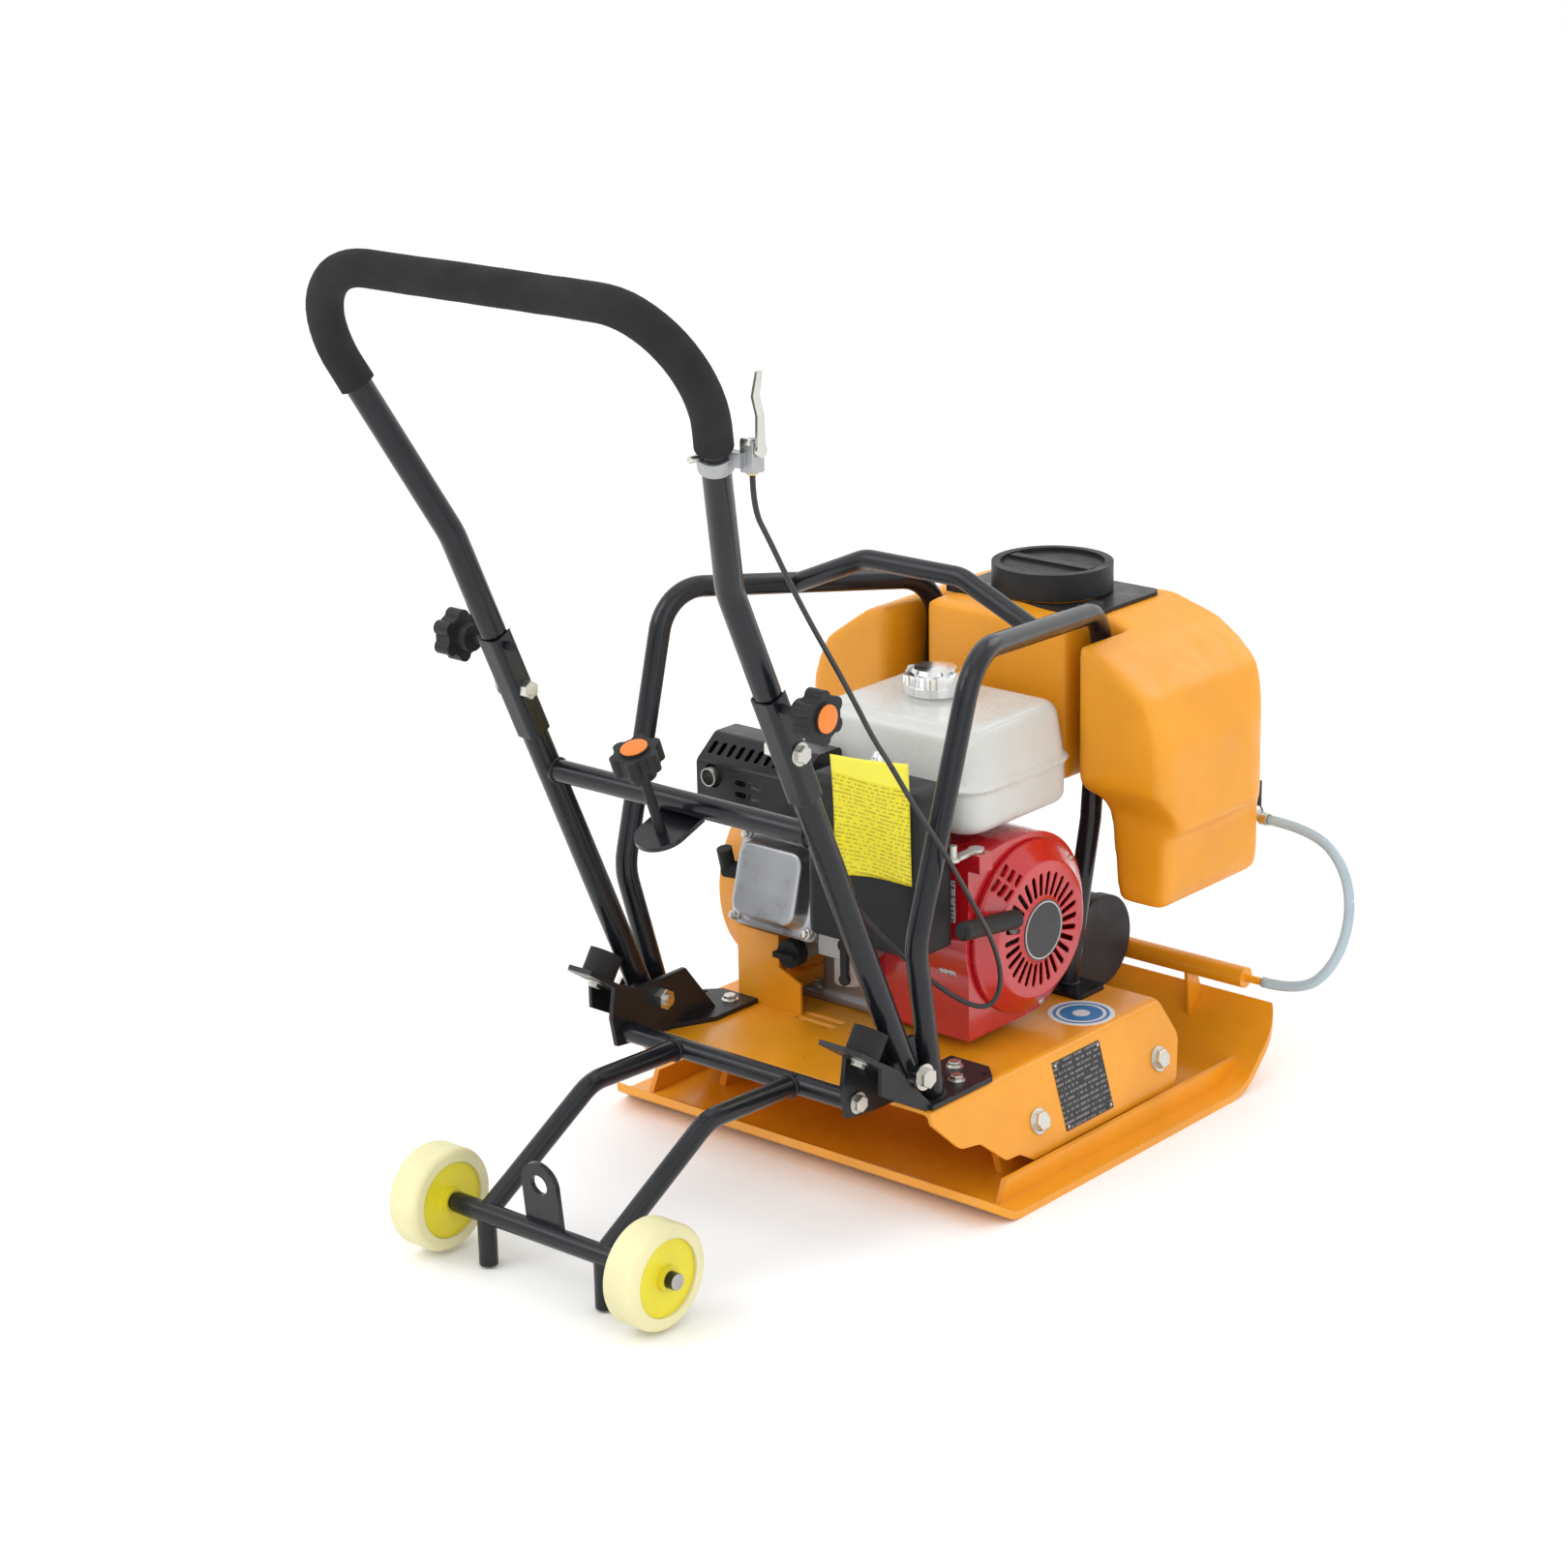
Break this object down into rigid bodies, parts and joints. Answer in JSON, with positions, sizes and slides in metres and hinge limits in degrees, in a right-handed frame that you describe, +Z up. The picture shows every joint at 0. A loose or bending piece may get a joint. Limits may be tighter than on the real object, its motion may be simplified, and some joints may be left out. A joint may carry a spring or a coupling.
{
  "type": "plate compactor",
  "caption": "Walk-behind forward plate compactor with petrol engine, tubular guard, water tank, folding handle and fold-under wheels.",
  "frame": {"origin": "centre of the base plate's flat bottom", "axes": "+Y travel direction (nose and water tank), +X operator's right (recoil side), +Z up"},
  "size_m": [0.5846, 0.9383, 0.9437],
  "materials": {
    "yellow_paint": "gloss",
    "black_paint": "satin",
    "zinc": "satin",
    "steel": "satin",
    "dark_iron": "matte",
    "rubber": "matte",
    "belt_rubber": "matte",
    "alloy": "satin",
    "red_paint": "gloss",
    "tank_white": "gloss",
    "black_plastic": "matte",
    "grey_plastic": "satin",
    "chrome": "gloss",
    "yellow_plastic": "satin",
    "clear_hose": "gloss",
    "foam": "matte",
    "tag_card": "satin",
    "cream_rubber": "matte"
  },
  "bodies": {
    "machine": {"base_plate": "yellow_paint", "rubber_mounts": "rubber", "deck": "yellow_paint", "hex_bolts": "zinc", "exciter_housing": "dark_iron", "exciter_covers": "dark_iron", "exciter_bearings": "steel", "drive_belt": "belt_rubber", "belt_guard": "yellow_paint", "crankcase": "alloy", "cylinder_head": "alloy", "rocker_cover": "alloy", "fan_cover": "red_paint", "recoil_cover": "red_paint", "fuel_tank": "tank_white", "air_cleaner": "black_plastic", "carburettor": "alloy", "muffler": "steel", "muffler_guard": "black_paint", "spark_plug_cap": "rubber", "guard_loop_left": "black_paint", "guard_loop_right": "black_paint", "lifting_bow": "black_paint", "handle_brackets": "black_paint", "handle_buffers": "rubber", "handle_pivot_bolts": "zinc", "water_tank": "yellow_plastic", "tank_strap": "black_paint", "water_tap": "zinc", "sprinkler_pipe": "yellow_paint", "water_hose": "clear_hose", "hose_clamps": "steel", "hang_tag": "tag_card"},
    "crank": {"crankshaft": "steel", "flywheel_fan": "dark_iron", "clutch_drum": "steel"},
    "exciter": {"eccentric_shaft": "steel", "exciter_pulley": "steel"},
    "recoil_grip": {"recoil_grip": "black_plastic"},
    "fuel_cap": {"fuel_cap": "chrome"},
    "water_cap": {"water_cap": "black_plastic"},
    "oil_cap": {"oil_cap": "black_plastic"},
    "throttle_arm": {"throttle_arm": "zinc"},
    "choke_lever": {"choke_lever": "black_plastic"},
    "tap_lever": {"water_tap_lever": "black_plastic"},
    "lower_handle": {"lower_handle": "black_paint", "fold_pivot_bolts": "zinc"},
    "upper_handle": {"upper_handle": "black_paint", "foam_grip": "foam", "throttle_clamp": "alloy", "throttle_cable": "black_plastic"},
    "fold_knob_left": {"fold_knob_left": "black_plastic"},
    "fold_knob_right": {"fold_knob_right": "black_plastic"},
    "lock_knob": {"lock_knob": "black_plastic"},
    "throttle_lever": {"throttle_lever": "zinc"},
    "wheel_frame": {"wheel_frame": "black_paint"},
    "wheel_left": {"wheel_tyre_left": "cream_rubber", "wheel_hub_left": "yellow_plastic"},
    "wheel_right": {"wheel_tyre_right": "cream_rubber", "wheel_hub_right": "yellow_plastic"}
  },
  "joints": [
    {"name": "crank_spin", "type": "hinge", "parent": "machine", "child": "crank", "pos_m": [0, -0.019, 0.221], "axis": [1, 0, 0], "continuous": true},
    {"name": "exciter_spin", "type": "hinge", "parent": "machine", "child": "exciter", "pos_m": [0, 0.175, 0.136], "axis": [1, 0, 0], "continuous": true},
    {"name": "recoil_pull", "type": "slide", "parent": "machine", "child": "recoil_grip", "axis": [0.4504, -0.2002, 0.8701], "range_m": [0, 0.4], "stiffness_N_per_m": 20},
    {"name": "fuel_cap_turn", "type": "hinge", "parent": "machine", "child": "fuel_cap", "pos_m": [0, 0.004, 0.442], "axis": [0, 0, 1], "continuous": true},
    {"name": "water_cap_turn", "type": "hinge", "parent": "machine", "child": "water_cap", "pos_m": [0, 0.198, 0.51], "axis": [0, 0, 1], "continuous": true},
    {"name": "oil_cap_turn", "type": "hinge", "parent": "machine", "child": "oil_cap", "pos_m": [-0.076, -0.133, 0.179], "axis": [0, 1, 0], "continuous": true},
    {"name": "choke_turn", "type": "hinge", "parent": "machine", "child": "choke_lever", "pos_m": [0.008, -0.152, 0.211], "axis": [0, 1, 0], "range_deg": [-35, 35]},
    {"name": "tap_turn", "type": "hinge", "parent": "machine", "child": "tap_lever", "pos_m": [0.18, 0.313, 0.262], "axis": [0, 1, 0], "range_deg": [0, 90]},
    {"name": "handle_swing", "type": "hinge", "parent": "machine", "child": "lower_handle", "pos_m": [0, -0.255, 0.152], "axis": [-1, 0, 0], "range_deg": [0, 8], "deforming": ["throttle_cable"]},
    {"name": "handle_fold", "type": "hinge", "parent": "lower_handle", "child": "upper_handle", "pos_m": [0, -0.41261, 0.506], "axis": [-1, 0, 0], "range_deg": [0, 90], "deforming": ["throttle_cable"]},
    {"name": "fold_knob_left_turn", "type": "hinge", "parent": "lower_handle", "child": "fold_knob_left", "pos_m": [-0.168, -0.43315, 0.55213], "axis": [-1, 0, 0], "continuous": true},
    {"name": "fold_knob_right_turn", "type": "hinge", "parent": "lower_handle", "child": "fold_knob_right", "pos_m": [0.168, -0.43315, 0.55213], "axis": [1, 0, 0], "continuous": true},
    {"name": "lock_knob_turn", "type": "hinge", "parent": "lower_handle", "child": "lock_knob", "pos_m": [0, -0.39899, 0.39199], "axis": [0, -0.3432, 0.9393], "continuous": true},
    {"name": "throttle_turn", "type": "hinge", "parent": "upper_handle", "child": "throttle_lever", "pos_m": [0.245, -0.528, 0.806], "axis": [1, 0, 0], "range_deg": [0, 60]},
    {"name": "throttle_arm_turn", "type": "hinge", "parent": "machine", "child": "throttle_arm", "pos_m": [0.132, -0.1, 0.322], "axis": [0, 0, 1], "range_deg": [-6, 25]},
    {"name": "wheels_fold", "type": "hinge", "parent": "machine", "child": "wheel_frame", "pos_m": [0, -0.304, 0.132], "axis": [-1, 0, 0], "range_deg": [0, 76]},
    {"name": "wheel_left_roll", "type": "hinge", "parent": "wheel_frame", "child": "wheel_left", "pos_m": [-0.136, -0.572, 0.054], "axis": [1, 0, 0], "continuous": true},
    {"name": "wheel_right_roll", "type": "hinge", "parent": "wheel_frame", "child": "wheel_right", "pos_m": [0.136, -0.572, 0.054], "axis": [1, 0, 0], "continuous": true}
  ],
  "couplings": [
    {"joint": "exciter_spin", "follows": "crank_spin", "ratio": 1.25}
  ]
}
